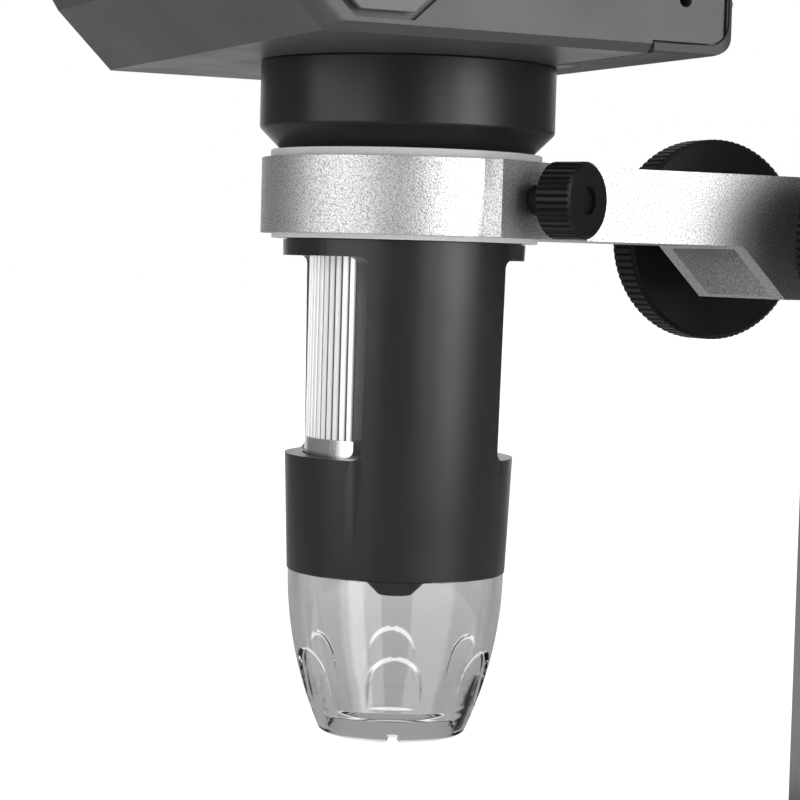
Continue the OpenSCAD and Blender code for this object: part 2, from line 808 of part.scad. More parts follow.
// The ribbed wheel that shows through both windows
module focus_wheel() {
    color("#c6c9cd") optic() difference() {
        union() {
            translate([0, 0, wheel_z + seat_gap]) cylinder(h = wheel_band_h, r = wheel_r + run_gap);
            translate([0, 0, wheel_z + wheel_band_h])
                linear_extrude(wheel_top - wheel_z - wheel_band_h)
                    grooved_disc(wheel_r, wheel_ribs, rib_groove_w);
        }
        translate([0, 0, wheel_z]) cylinder(h = window_h + 2 * flange_h, r = wheel_bore_r);
    }
}

module lens_tube() {
    bottom = nose_z - lens_out;
    tip = bottom - lens_tip_h;
    color("#101011") optic() rotate_extrude() polygon([
        [lens_r - lens_wall, lens_flange_z], [lens_flange_r, lens_flange_z],
        [lens_flange_r, lens_flange_z - lens_flange_t], [lens_r, lens_flange_z - lens_flange_t],
        [lens_r, bottom], [lens_tip_r, tip], [glass_r + fit_gap, tip],
        [glass_r + fit_gap, tip + glass_t], [lens_eye_r, tip + glass_t],
        [lens_r - lens_wall, bottom + lens_wall]
    ]);
}

module front_lens() {
    color("#7fa6b8") optic() translate([0, 0, nose_z - lens_out - lens_tip_h])
        cylinder(h = glass_t, r = glass_r);
}

// The cup over the wheel that carries the sensor's board
module sensor_holder() {
    color("#1a1a1c") optic() rotate_extrude() polygon([
        [holder_bore_r, flange_z], [holder_r, flange_z], [holder_r, flange_z + holder_h + board_t],
        [board_r + fit_gap, flange_z + holder_h + board_t], [board_r + fit_gap, flange_z + holder_h],
        [holder_bore_r, flange_z + holder_h]
    ]);
}

module sensor_board() {
    color("#1f5a36") optic() translate([0, 0, flange_z + holder_h]) cylinder(h = board_t, r = board_r);
}

module image_sensor() {
    color("#26303a") optic() translate([-sensor_size / 2, -sensor_size / 2, flange_z + holder_h - sensor_t])
        cube([sensor_size, sensor_size, sensor_t]);
}

module led_board() {
    color("#e9e9e4") optic() translate([0, 0, led_z]) difference() {
        cylinder(h = board_t, r = wheel_r);
        translate([0, 0, -over]) cylinder(h = board_t + 2 * over, r = diaphragm_r);
    }
}

module leds() {
    color("#f2e9b8") optic() for (i = [0 : led_count - 1]) rotate(i * 360 / led_count)
        translate([led_ring_r - led_size / 2, -led_size / 2, led_z - led_t])
            cube([led_size, led_size, led_t]);
}

// The arch that the scallops are cut with, in the plane of the scallop's floor
module scallop_arch() {
    length = scallop_run / cos(scallop_tilt);
    translate([0, -scallop_w / 2]) circle(d = scallop_w);
    translate([-scallop_w / 2, -length - over]) square([scallop_w, length + over - scallop_w / 2]);
}

module nose_cover() {
    color("#dfe6ea", 0.45) optic() translate([0, 0, nose_z]) difference() {
        rotate_extrude() {
            intersection() {
                translate([nose_top_r - nose_arc_r, 0]) difference() {
                    circle(r = nose_arc_r, $fn = 4 * $fn);
                    circle(r = nose_arc_r - nose_wall, $fn = 4 * $fn);
                }
                translate([0, -nose_l]) square([nose_top_r, nose_l]);
            }
            translate([nose_spigot_r - nose_wall, -nose_wall])
                square([nose_wall, nose_spigot_h + nose_wall]);
            translate([nose_spigot_r - nose_wall, -nose_wall])
                square([nose_top_r - nose_spigot_r + nose_wall / 2, nose_wall]);
        }
        for (i = [0 : scallops - 1]) rotate(i * 360 / scallops + window_turn)
            translate([scallop_in, 0, -scallop_top]) rotate([0, 90 + scallop_tilt, 0])
                rotate(90) linear_extrude(nose_top_r) scallop_arch();
    }
}

// Screen head

function unit(v) = v / norm(v);
function left_of(v) = [-v[1], v[0]];

// The points of a convex outline, moved inwards by a distance
function inset(points, distance) = [
    for (i = [0 : len(points) - 1])
    let (
        count = len(points),
        before = left_of(unit(points[i] - points[(i + count - 1) % count])),
        after = left_of(unit(points[(i + 1) % count] - points[i]))
    )
    points[i] + distance * (before + after) / (1 + before * after)
];

// The head's Y-Z outline, moved inwards, with its lower rear corner rounded
module head_outline(distance = 0) {
    radius = rear_corner_r - distance;
    difference() {
        polygon(inset(head_points, distance));
        translate([under_rear - rear_corner_r, rear_corner_r]) difference() {
            translate([0, -radius - over]) square([radius + over, radius + over]);
            circle(r = radius);
        }
    }
}

// The whole head under the bezel, with its upright edges rounded and its foot bevelled
module head_solid(bevel) {
    top = face_end[1] + over;
    reach = head_reach + under_rear;
    intersection() {
        along_x(-head_w / 2, head_w / 2) head_outline();
        translate([0, under_rear - reach / 2, -over]) linear_extrude(top + over)
            rounded_rect(head_w, reach, head_corner_r);
        translate([0, -under_front, 0]) rotate([45, 0, 0])
            translate([0, reach / 2, -reach]) linear_extrude(2 * reach)
                rounded_rect(head_w, reach, head_corner_r);
        translate([0, reach / 2, 0]) rotate([90, 0, 0]) linear_extrude(reach) polygon([
            [bevel - head_w / 2, 0], [head_w / 2 - bevel, 0],
            [head_w / 2, bevel], [head_w / 2, top], [-head_w / 2, top], [-head_w / 2, bevel]
        ]);
    }
}

// Everything behind the rear cover's inner face is the rear cover's, but for the
// housing's tongue in the underside. The band can be grown into the housing
module rear_band(grow = 0) {
    difference() {
        along_x(-head_w, head_w) difference() {
            translate([cover_y - grow, -over]) square([under_rear, head_reach]);
            head_outline(head_wall + grow);
        }
        translate([grow - tongue_w / 2, cover_y - over, -2 * over])
            cube([tongue_w - 2 * grow, over + tongue_l - grow, head_wall + 3 * over]);
    }
}

// A fine groove in the housing along the cover's edge
module seam_groove() {
    difference() {
        rear_band(seam_w);
        along_x(seam_depth - head_w / 2, head_w / 2 - seam_depth) head_outline(seam_depth);
    }
}

module cover_screw_places() {
    for (side = [-1, 1], height = boss_zs)
        translate([side * boss_x, under_rear, height]) rotate([90, 0, 0]) children();
}

// The side key's outline with its ends sloping outwards, grown by a clearance
module side_key_outline(gap = 0) {
    foot = side_key_w / 2;
    brow = foot + side_key_flare_share * side_key_h;
    polygon(inset([
        [-foot, -side_key_h / 2], [foot, -side_key_h / 2],
        [brow, side_key_h / 2], [-brow, side_key_h / 2]
    ], -gap));
}

module side_key_place() {
    head() translate([0, side_key_y, side_key_z]) children();
}

module head_housing() {
    inner_w = head_w - 2 * head_wall;
    color("#35373b") difference() {
        head() union() {
            difference() {
                head_solid(head_bevel);
                along_x(-inner_w / 2, inner_w / 2) head_outline(head_wall);
            }
            cover_screw_places() translate([0, 0, head_wall]) cylinder(h = boss_l, r = boss_r);
        }
        head() {
            rear_band();
            seam_groove();
            translate([0, reset_hole_place[0], reset_hole_place[1]]) rotate([0, 90, 0])
                cylinder(h = head_w, d = reset_hole_d);
        }
        face() translate([-inner_w / 2, face_rim, -face_rim])
            cube([inner_w, face_l - face_rim - head_wall, face_rim + over]);
        head() {
            translate([0, 0, -over]) cylinder(h = head_wall + 2 * over, r = cable_r);
            cover_screw_places() cylinder(h = cover_screw_l + seat_gap, d = cover_screw_d + 2 * fit_gap);
        }
        side_key_place() {
            along_x(head_w / 2 - side_recess, head_w / 2 + over) side_key_outline(side_key_gap);
            rotate([0, 90, 0]) cylinder(h = head_w, d = side_stem_d + 2 * key_gap);
        }
        socket_body(usb_from_front, usb_w, usb_t, over, run_gap);
        socket_body(card_from_front, card_w, card_t, over, run_gap);
    }
}

module rear_cover() {
    color("#2d2f33") head() difference() {
        intersection() {
            head_solid(cover_bevel);
            rear_band();
        }
        cover_screw_places() translate([0, 0, -over]) {
            cylinder(h = head_wall + 2 * over, d = cover_screw_d + 2 * seat_gap);
            cylinder(h = cover_head_h + over, d = cover_head_d + 2 * seat_gap);
        }
        for (i = [0 : vent_count - 1])
            translate([(i - (vent_count - 1) / 2) * vent_pitch, under_rear, vent_z])
                rotate([90, 0, 0]) linear_extrude(2 * over + 2 * head_wall, center = true)
                    rounded_rect(vent_w, vent_h, vent_w / 2 - fit_gap);
    }
}

module cover_screws() {
    color("#6f7276") head() cover_screw_places() difference() {
        union() {
            cylinder(h = cover_head_h, d = cover_head_d);
            cylinder(h = cover_screw_l, d = cover_screw_d);
        }
        for (turn = [0, 90]) rotate(turn)
            translate([-cover_screw_d / 2, -cover_head_h / 4, -over])
                cube([cover_screw_d, cover_head_h / 2, cover_head_h / 2 + over]);
    }
}

// The place of a menu key, counted from the middle one
module key_place(index) {
    face() translate([index * key_pitch, key_from_front, 0]) children();
}

module screen_bezel() {
    color("#1e1f22") difference() {
        face() translate([0, face_l / 2, 0])
            bevelled_plate(head_w, face_l, bezel_t, head_corner_r, head_wall / 4);
        face() translate([0, screen_from_front + screen_h / 2, -over])
            linear_extrude(bezel_t + 2 * over) rounded_rect(screen_w, screen_h, head_wall / 2);
        for (i = [-2 : 2]) key_place(i) translate([0, 0, -over])
            cylinder(h = bezel_t + 2 * over, d = key_d + 2 * key_gap);
    }
}

module screen_glass() {
    color("#0b1016") face() translate([0, screen_from_front + screen_h / 2, 0])
        linear_extrude(glass_cover_t)
            rounded_rect(screen_w - 2 * run_gap, screen_h - 2 * run_gap, head_wall / 2 - run_gap);
}

// A box against the face's underside, from the front, at a depth below the bezel
module behind_face(x_mid, from_front, w, l, depth, t) {
    face() translate([x_mid - w / 2, from_front, -depth - t]) cube([w, l, t]);
}

module lcd_panel() {
    color("#8a939b") behind_face(0, lcd_from_front, lcd_w, lcd_l, 0, lcd_t);
}

module main_board() {
    color("#1f5a36") behind_face(0, main_from_front, main_w, main_l, lcd_t, board_t);
    color("#c8c8c8") for (i = [-2 : 2]) key_place(i) translate([0, 0, -lcd_t])
        translate([-switch_size / 2, -switch_size / 2, 0]) cube([switch_size, switch_size, switch_h]);
}

module battery_pack() {
    color("#3d6fae") behind_face(battery_x + battery_w / 2, battery_from_front,
        battery_w, battery_l, lcd_t + board_t, battery_t);
}

// A socket under the board, with its mouth in the head's -X wall
module socket_body(from_front, w, t, extra, gap) {
    depth = lcd_t + board_t;
    face() translate([-head_w / 2 - extra, from_front - gap, -depth - t - gap])
        cube([extra + 2 * head_wall, w + 2 * gap, t + 2 * gap]);
}

module socket(from_front, w, t, long) {
    difference() {
        face() translate([seat_gap - head_w / 2, from_front, -lcd_t - board_t - t]) cube([long, w, t]);
        face() translate([seat_gap - head_w / 2 - over, from_front + socket_wall,
            socket_wall - lcd_t - board_t - t])
            cube([long - socket_wall + over, w - 2 * socket_wall, t - 2 * socket_wall]);
    }
}

module usb_socket() {
    color("#a9acb0") socket(usb_from_front, usb_w, usb_t, usb_depth);
}

module card_socket() {
    color("#a9acb0") socket(card_from_front, card_w, card_t, card_depth);
}

// A round key: cap through the bezel, and a flange under it that keeps it in
module menu_key(index) {
    key_place(index) rotate_extrude() polygon([
        [0, -key_gap - key_flange_t], [key_d / 2 + key_flange_w, -key_gap - key_flange_t],
        [key_d / 2 + key_flange_w, -key_gap], [key_d / 2, -key_gap],
        [key_d / 2, bezel_t + key_proud - key_bevel],
        [key_d / 2 - key_bevel, bezel_t + key_proud], [0, bezel_t + key_proud]
    ]);
}

module key_power() {
    color("#44474c") menu_key(-2);
}

module key_menu() {
    color("#44474c") menu_key(-1);
}

module key_up() {
    color("#44474c") menu_key(0);
}

module key_down() {
    color("#44474c") menu_key(1);
}

module key_ok() {
    color("#44474c") menu_key(2);
}

module side_key() {
    back = head_w / 2 + side_key_proud - side_key_t;
    color("#26272a") side_key_place() {
        along_x(back, back + side_key_t) side_key_outline();
        translate([side_hook_x, 0, 0]) rotate([0, 90, 0]) {
            cylinder(h = back - side_hook_x, d = side_stem_d);
            cylinder(h = side_hook_t, d = side_hook_d);
        }
    }
}

// The side key's switch on its own small board, which stands on the head's floor
module side_switch() {
    color("#1f5a36") head() translate([
        side_switch_x - side_switch_t - side_board_t, side_key_y - side_board_w / 2, head_wall
    ]) cube([side_board_t, side_board_w, side_board_h]);
    color("#c8c8c8") side_key_place()
        translate([side_switch_x - side_switch_t, -switch_size / 2, -switch_size / 2])
            cube([side_switch_t, switch_size, switch_size]);
}

base_plate();
rubber_feet();
stage_disc();
column();
column_screws();
rack();
column_cap();
clamp_arm();
gib_pad();
gib_screw();
thumb_screw();
pinion();
pinion_shaft();
focus_knob_left();
focus_knob_right();
ring_bush();
bush_washer();
neck_collar();
barrel_body();
focus_wheel();
lens_tube();
front_lens();
sensor_holder();
sensor_board();
image_sensor();
led_board();
leds();
nose_cover();
head_housing();
rear_cover();
screen_bezel();
screen_glass();
lcd_panel();
main_board();
battery_pack();
usb_socket();
card_socket();
cover_screws();
key_power();
key_menu();
key_up();
key_down();
key_ok();
side_key();
side_switch();
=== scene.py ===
# %% [markdown]
# A digital microscope on a stand: a camera barrel hangs from a screen head, a
# silver ring holds it, and an arm carries the ring on a column with a rack.
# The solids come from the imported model. This script gives them their finishes,
# softens the edges that catch light, makes the clear nose with its scallops, and
# adds the signs on the keys.

# %% Load the fixed frame
import math
import json

import bmesh
import bpy
from mathutils import Matrix, Vector

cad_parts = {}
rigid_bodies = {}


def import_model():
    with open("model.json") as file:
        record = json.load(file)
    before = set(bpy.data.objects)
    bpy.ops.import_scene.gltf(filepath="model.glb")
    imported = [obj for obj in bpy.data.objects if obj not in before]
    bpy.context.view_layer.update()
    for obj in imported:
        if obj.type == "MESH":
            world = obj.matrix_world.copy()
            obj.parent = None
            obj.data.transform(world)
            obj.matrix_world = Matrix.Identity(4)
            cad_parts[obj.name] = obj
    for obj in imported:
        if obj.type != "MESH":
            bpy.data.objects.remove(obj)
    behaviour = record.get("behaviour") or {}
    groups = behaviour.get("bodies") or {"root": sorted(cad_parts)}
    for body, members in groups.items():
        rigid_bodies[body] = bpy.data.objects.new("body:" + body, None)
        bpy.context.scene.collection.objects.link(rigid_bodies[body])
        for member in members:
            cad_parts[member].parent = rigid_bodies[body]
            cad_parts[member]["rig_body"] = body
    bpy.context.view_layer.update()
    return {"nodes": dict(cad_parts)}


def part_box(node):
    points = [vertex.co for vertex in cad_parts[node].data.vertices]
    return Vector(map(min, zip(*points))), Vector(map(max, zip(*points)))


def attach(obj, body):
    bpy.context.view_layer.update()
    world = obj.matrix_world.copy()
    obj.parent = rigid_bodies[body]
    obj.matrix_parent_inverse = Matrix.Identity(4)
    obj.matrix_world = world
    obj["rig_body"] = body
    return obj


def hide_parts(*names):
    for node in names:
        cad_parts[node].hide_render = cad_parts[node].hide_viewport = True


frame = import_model()
nodes = frame["nodes"]
MM = 0.001
print("pieces from the solid model:", len(nodes))

# %% [markdown]
# The optical axis is the line that everything on the camera head turns about.
# Its place is read from the neck, because a round part's box is centred on it.

# %% Find the optical axis and the ring's underside
neck_low, neck_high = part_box("neck_collar")
axis_x = (neck_low.x + neck_high.x) / 2
axis_y = (neck_low.y + neck_high.y) / 2
ring_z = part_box("ring_bush")[0].z
print("optical axis", round(axis_x, 4), round(axis_y, 4), "ring at", round(ring_z, 4))

# %% [markdown]
# The photograph looks at the barrel almost level from the front right, through
# a long lens. The camera stands on a circle round the optical axis, so that its
# distance, turn, tilt and roll can each be set alone.

# %% Camera at the photograph's angle
FRAME_PIXELS = 800
FOCAL_PIXELS = 2400
SENSOR = 36.0
CAMERA_DISTANCE = 409 * MM
CAMERA_TURN = math.radians(64.3)
CAMERA_TILT = math.radians(3.23)
CAMERA_ROLL = math.radians(1.57)
CAMERA_DROP = 4.8 * MM


def add_camera():
    ahead = Vector((-math.sin(CAMERA_TURN), math.cos(CAMERA_TURN), 0))
    level = Vector((math.cos(CAMERA_TURN), math.sin(CAMERA_TURN), 0))
    look = ahead * math.cos(CAMERA_TILT) - Vector((0, 0, math.sin(CAMERA_TILT)))
    upright = level.cross(look)
    right = level * math.cos(CAMERA_ROLL) + upright * math.sin(CAMERA_ROLL)
    up = upright * math.cos(CAMERA_ROLL) - level * math.sin(CAMERA_ROLL)
    data = bpy.data.cameras.new("photo_camera")
    data.sensor_width = SENSOR
    data.lens = FOCAL_PIXELS * SENSOR / FRAME_PIXELS
    data.clip_start = 0.01
    data.clip_end = 20
    camera = bpy.data.objects.new("photo_camera", data)
    bpy.context.scene.collection.objects.link(camera)
    place = Vector((axis_x, axis_y, ring_z - CAMERA_DROP)) - ahead * CAMERA_DISTANCE
    camera.matrix_world = Matrix.Translation(place) @ Matrix((right, up, -look)).transposed().to_4x4()
    bpy.context.scene.camera = camera
    return camera


camera = add_camera()
print("lens", camera.data.lens, "mm")

# %% [markdown]
# A finish or a light is a tree of small nodes. Each of these helpers adds one
# node, sets its values and links it, so that the world, the floor and the focus
# wheel can each be told in a few lines.

# %% Helpers for node trees
def smooth_step(tree, value, edges, ends):
    step = tree.nodes.new("ShaderNodeMapRange")
    step.interpolation_type = "SMOOTHSTEP"
    step.inputs["From Min"].default_value = edges[0]
    step.inputs["From Max"].default_value = edges[1]
    step.inputs["To Min"].default_value = ends[0]
    step.inputs["To Max"].default_value = ends[1]
    tree.links.new(value, step.inputs["Value"])
    return step.outputs["Result"]


def vector_math(tree, operation, vector, other=None):
    step = tree.nodes.new("ShaderNodeVectorMath")
    step.operation = operation
    tree.links.new(vector, step.inputs[0])
    if other is not None:
        step.inputs[1].default_value = other
    return step.outputs["Value" if operation in ("DOT_PRODUCT", "LENGTH") else "Vector"]


def mix_shaders(tree, factor, first, second):
    mix = tree.nodes.new("ShaderNodeMixShader")
    tree.links.new(factor, mix.inputs["Fac"])
    tree.links.new(first.outputs[0], mix.inputs[1])
    tree.links.new(second.outputs[0], mix.inputs[2])
    return mix


node_helpers = (smooth_step, vector_math, mix_shaders)
print("node helpers:", ", ".join(helper.__name__ for helper in node_helpers))

# %% [markdown]
# The studio is a white sweep behind the object, in a room with dim walls. The
# camera and clear plastic see plain white. Matt surfaces get an even, softer
# light. Glossy surfaces see the room: white towards the sweep, grey elsewhere,
# which gives metal its dark bands and leaves black plastic black. The sweep's
# direction is fixed in the room, so it stays where it is when a view moves.

# %% World
MATT_LIGHT = 0.22
ROOM_LIGHT = 0.16
SWEEP = (-0.901, 0.434, 0.0)
SWEEP_EDGE = (0.8, 0.99)


def add_background(tree, strength):
    background = tree.nodes.new("ShaderNodeBackground")
    background.inputs["Color"].default_value = (1, 1, 1, 1)
    background.inputs["Strength"].default_value = strength
    return background


def add_world():
    world = bpy.data.worlds.new("studio")
    bpy.context.scene.world = world
    world.use_nodes = True
    tree = world.node_tree
    tree.nodes.clear()
    path = tree.nodes.new("ShaderNodeLightPath")
    direction = tree.nodes.new("ShaderNodeTexCoord").outputs["Generated"]
    towards = vector_math(tree, "DOT_PRODUCT", direction, SWEEP)
    room = smooth_step(tree, towards, SWEEP_EDGE, (ROOM_LIGHT, 1.0))
    matt = add_background(tree, MATT_LIGHT)
    glossy = add_background(tree, 1.0)
    tree.links.new(room, glossy.inputs["Strength"])
    seen = add_background(tree, 1.0)
    either = tree.nodes.new("ShaderNodeMath")
    either.operation = "MAXIMUM"
    tree.links.new(path.outputs["Is Camera Ray"], either.inputs[0])
    tree.links.new(path.outputs["Is Transmission Ray"], either.inputs[1])
    reflect = mix_shaders(tree, path.outputs["Is Glossy Ray"], matt, glossy)
    direct = mix_shaders(tree, either.outputs[0], reflect, seen)
    output = tree.nodes.new("ShaderNodeOutputWorld")
    tree.links.new(direct.outputs[0], output.inputs["Surface"])


add_world()
print("matt light", MATT_LIGHT, "room light", ROOM_LIGHT)

# %% [markdown]
# Two broad softboxes stand left and right of the camera. Each draws one upright
# band of light on the round pieces. A narrow lamp inside the right one's width
# gives its band a bright core, and a weak lamp above fills the top of the head.

# %% Lamps
LAMP_DISTANCE = 0.8
BOX_HEIGHT = 0.9


def add_lamp(name, turn_deg, rise_deg, size, power):
    data = bpy.data.lights.new(name, "AREA")
    data.shape = "RECTANGLE"
    data.size, data.size_y = size
    data.energy = power
    lamp = bpy.data.objects.new(name, data)
    bpy.context.scene.collection.objects.link(lamp)
    turn = CAMERA_TURN - math.pi / 2 + math.radians(turn_deg)
    rise = math.radians(rise_deg)
    away = Vector((math.cos(turn) * math.cos(rise), math.sin(turn) * math.cos(rise), math.sin(rise)))
    target = Vector((axis_x, axis_y, ring_z))
    lamp.location = target + away * LAMP_DISTANCE
    lamp.rotation_euler = (-away).to_track_quat("-Z", "Y").to_euler()
    return lamp


# Each row: name, degrees round from the camera, degrees up, width and height, watts
LAMPS = (
    ("softbox_left", -50, 8, (0.85, BOX_HEIGHT), 3.9),
    ("softbox_right", 44, 8, (0.85, BOX_HEIGHT), 4.4),
    ("softbox_key", 49, 8, (0.3, BOX_HEIGHT), 2.2),
    ("top_fill", 10, 84, (0.7, 0.7), 0.7),
)
for row in LAMPS:
    lamp = add_lamp(*row)
    print(lamp.name, round(lamp.data.energy, 1), "W")

# %% [markdown]
# The floor is a plain pale sheet. Near the object it is mostly a matt surface,
# which keeps the soft shadow, and further out its own glow takes over, so that
# it runs into the white background with no horizon. Reflections see that glow
# only towards the sweep, because the rest of the far floor is dim like the room.

# %% Finish of the floor
FLOOR_GLOW = (0.75, 1.0)
FLOOR_MIRROR = 0.35
FLOOR_FADE = (0.25, 1.2)


def blend_values(tree, factor, first, second):
    mix = tree.nodes.new("ShaderNodeMix")
    tree.links.new(factor, mix.inputs["Factor"])
    for socket, value in ((mix.inputs["A"], first), (mix.inputs["B"], second)):
        if isinstance(value, float):
            socket.default_value = value
        else:
            tree.links.new(value, socket)
    return mix.outputs["Result"]


def floor_finish():
    material = bpy.data.materials.new("pale floor")
    material.use_nodes = True
    tree = material.node_tree
    shader = tree.nodes["Principled BSDF"]
    shader.inputs["Base Color"].default_value = (0.9, 0.9, 0.9, 1)
    shader.inputs["Roughness"].default_value = 0.9
    shader.inputs["Specular IOR Level"].default_value = 0.0
    shader.inputs["Emission Color"].default_value = (1, 1, 1, 1)
    place = tree.nodes.new("ShaderNodeTexCoord").outputs["Object"]
    reach = vector_math(tree, "LENGTH", place)
    towards = vector_math(tree, "DOT_PRODUCT", vector_math(tree, "NORMALIZE", place), SWEEP)
    far = smooth_step(tree, reach, FLOOR_FADE, (0.0, 1.0))
    sweep = smooth_step(tree, towards, SWEEP_EDGE, (ROOM_LIGHT, 1.0))
    seen = blend_values(tree, far, FLOOR_GLOW[0], FLOOR_GLOW[1])
    tree.links.new(seen, shader.inputs["Emission Strength"])
    mirrored = tree.nodes.new("ShaderNodeEmission")
    tree.links.new(blend_values(tree, far, FLOOR_MIRROR, sweep), mirrored.inputs["Strength"])
    path = tree.nodes.new("ShaderNodeLightPath")
    either = mix_shaders(tree, path.outputs["Is Glossy Ray"], shader, mirrored)
    tree.links.new(either.outputs[0], tree.nodes["Material Output"].inputs["Surface"])
    return material


floor_pale = floor_finish()
print("floor finish:", floor_pale.name)

# %% [markdown]
# A bmesh is only a working shape. It has to be written to a mesh, and the mesh
# has to be held by an object in the scene, so one helper does this for the floor
# and for every later piece. The floor lies a hair below the feet. It isn't part
# of the object.

# %% Floor
FLOOR_SIZE = 6.0
FLOOR_GAP = 0.2 * MM


def make_object(shape, name):
    mesh = bpy.data.meshes.new(name)
    shape.to_mesh(mesh)
    shape.free()
    piece = bpy.data.objects.new(name, mesh)
    bpy.context.scene.collection.objects.link(piece)
    return piece


def add_floor():
    sheet = bmesh.new()
    bmesh.ops.create_grid(sheet, x_segments=1, y_segments=1, size=FLOOR_SIZE)
    floor = make_object(sheet, "floor")
    floor.location.z = -FLOOR_GAP
    floor.data.materials.append(floor_pale)
    return floor


floor = add_floor()
print("floor", floor.dimensions.x, "m wide")

# %% [markdown]
# Every finish starts the same way: a shader, the piece's own coordinates in
# metres, and a noise on them, whose middle part is spread over a range. The grain
# sizes are given in millimetres, as one would describe a real finish.

# %% Helpers for finishes
def start_finish(name, color, roughness, metallic=0.0, gloss=0.5):
    material = bpy.data.materials.new(name)
    material.use_nodes = True
    tree = material.node_tree
    shader = tree.nodes["Principled BSDF"]
    shader.inputs["Base Color"].default_value = (*color, 1)
    shader.inputs["Roughness"].default_value = roughness
    shader.inputs["Metallic"].default_value = metallic
    shader.inputs["Specular IOR Level"].default_value = gloss
    place = tree.nodes.new("ShaderNodeTexCoord")
    return material, tree, shader, place.outputs["Object"]


def add_noise(tree, place, grain_mm, detail=3.0, stretch=(1, 1, 1)):
    mapping = tree.nodes.new("ShaderNodeMapping")
    mapping.inputs["Scale"].default_value = stretch
    tree.links.new(place, mapping.inputs["Vector"])
    noise = tree.nodes.new("ShaderNodeTexNoise")
    noise.inputs["Scale"].default_value = 1 / (grain_mm * MM)
    noise.inputs["Detail"].default_value = detail
    tree.links.new(mapping.outputs["Vector"], noise.inputs["Vector"])
    return noise.outputs["Fac"]


def add_range(tree, value, low, high, from_low=0.3, from_high=0.7):
    spread = tree.nodes.new("ShaderNodeMapRange")
    spread.inputs["From Min"].default_value = from_low
    spread.inputs["From Max"].default_value = from_high
    spread.inputs["To Min"].default_value = low
    spread.inputs["To Max"].default_value = high
    tree.links.new(value, spread.inputs["Value"])
    return spread.outputs["Result"]


print("texture helpers:", add_noise.__name__, add_range.__name__)

# %% [markdown]
# A texture reaches the shader in three ways: it makes the surface duller or
# glossier, it shades the colour between two tones, and it lifts the surface a few
# hundredths of a millimetre, which bends the light without any new geometry.

# %% Helpers that drive the shader
def add_roughness(tree, shader, value, low, high):
    tree.links.new(add_range(tree, value, low, high), shader.inputs["Roughness"])


def add_tint(tree, shader, value, dark, light):
    mix = tree.nodes.new("ShaderNodeMix")
    mix.data_type = "RGBA"
    mix.inputs["A"].default_value = (*dark, 1)
    mix.inputs["B"].default_value = (*light, 1)
    tree.links.new(value, mix.inputs["Factor"])
    tree.links.new(mix.outputs["Result"], shader.inputs["Base Color"])


def add_bump(tree, shader, height, depth_mm, strength=1.0):
    bump = tree.nodes.new("ShaderNodeBump")
    bump.inputs["Strength"].default_value = strength
    bump.inputs["Distance"].default_value = depth_mm * MM
    tree.links.new(height, bump.inputs["Height"])
    tree.links.new(bump.outputs["Normal"], shader.inputs["Normal"])


print("shader helpers:", add_roughness.__name__, add_tint.__name__, add_bump.__name__)

# %% [markdown]
# Moulded plastic is never quite one colour: the mould's spark texture gives a
# fine grain, and handling polishes it in soft patches. So one fine noise drives
# the tint and the bump, and one broad noise drives the roughness.

# %% Moulded plastics
HANDLED_PATCH = 14.0
HANDLED_SPREAD = 0.05
GRAIN_SHADES = (0.85, 1.12)


def moulded(name, color, roughness, grain_mm, depth_mm, gloss=0.35):
    material, tree, shader, place = start_finish(name, color, roughness, gloss=gloss)
    fine = add_noise(tree, place, grain_mm)
    broad = add_noise(tree, place, HANDLED_PATCH, detail=2.0)
    add_roughness(tree, shader, broad, roughness - HANDLED_SPREAD, roughness + HANDLED_SPREAD)
    dark, light = (tuple(min(c * shade, 1.0) for c in color) for shade in GRAIN_SHADES)
    add_tint(tree, shader, fine, dark, light)
    add_bump(tree, shader, fine, depth_mm, 0.5)
    return material


neck_black = moulded("satin black neck", (0.009, 0.009, 0.0095), 0.33, 0.5, 0.008, gloss=0.42)
barrel_black = moulded("satin black barrel", (0.0125, 0.0125, 0.013), 0.3, 0.4, 0.01, gloss=0.5)
head_grey = moulded("spark-textured head", (0.046, 0.047, 0.049), 0.42, 0.35, 0.03, gloss=0.5)
cover_grey = moulded("spark-textured cover", (0.042, 0.043, 0.045), 0.5, 0.35, 0.03)
cap_black = moulded("moulded cap", (0.016, 0.016, 0.017), 0.45, 0.4, 0.02)
key_grey = moulded("satin keys", (0.09, 0.092, 0.098), 0.35, 0.4, 0.01)
nylon = moulded("pale nylon", (0.5, 0.505, 0.5), 0.6, 0.6, 0.01, gloss=0.25)
rubber = moulded("soft rubber", (0.02, 0.02, 0.02), 0.75, 0.3, 0.03)
battery_blue = moulded("shrink wrap", (0.05, 0.12, 0.3), 0.25, 2.0, 0.03)
lcd_grey = moulded("panel back", (0.1, 0.11, 0.12), 0.3, 1.0, 0.01)
stage_white = moulded("white stage disc", (0.72, 0.72, 0.71), 0.3, 0.6, 0.006)
print("finishes so far:", len(bpy.data.materials))

# %% [markdown]
# The ring and arm are sand-blasted aluminium. Blasting leaves tiny pits that
# sparkle, so the grain is in the colour and in the bump, at a quarter of a
# millimetre, over a metal that is rough enough to spread the light. Turned and
# drawn metals have their grain stretched along the tool's path instead.

# %% Metals
LINE_SHADE = 0.86


def blasted_alloy():
    material, tree, shader, place = start_finish(
        "sand-blasted alloy", (0.74, 0.74, 0.75), 0.44, metallic=1.0)
    pits = add_noise(tree, place, 0.26, detail=3.0)
    shown = add_range(tree, pits, 0, 1, 0.36, 0.58)
    add_tint(tree, shader, shown, (0.42, 0.42, 0.43), (0.86, 0.86, 0.87))
    add_roughness(tree, shader, pits, 0.5, 0.38)
    add_bump(tree, shader, pits, 0.06, 1.0)
    return material


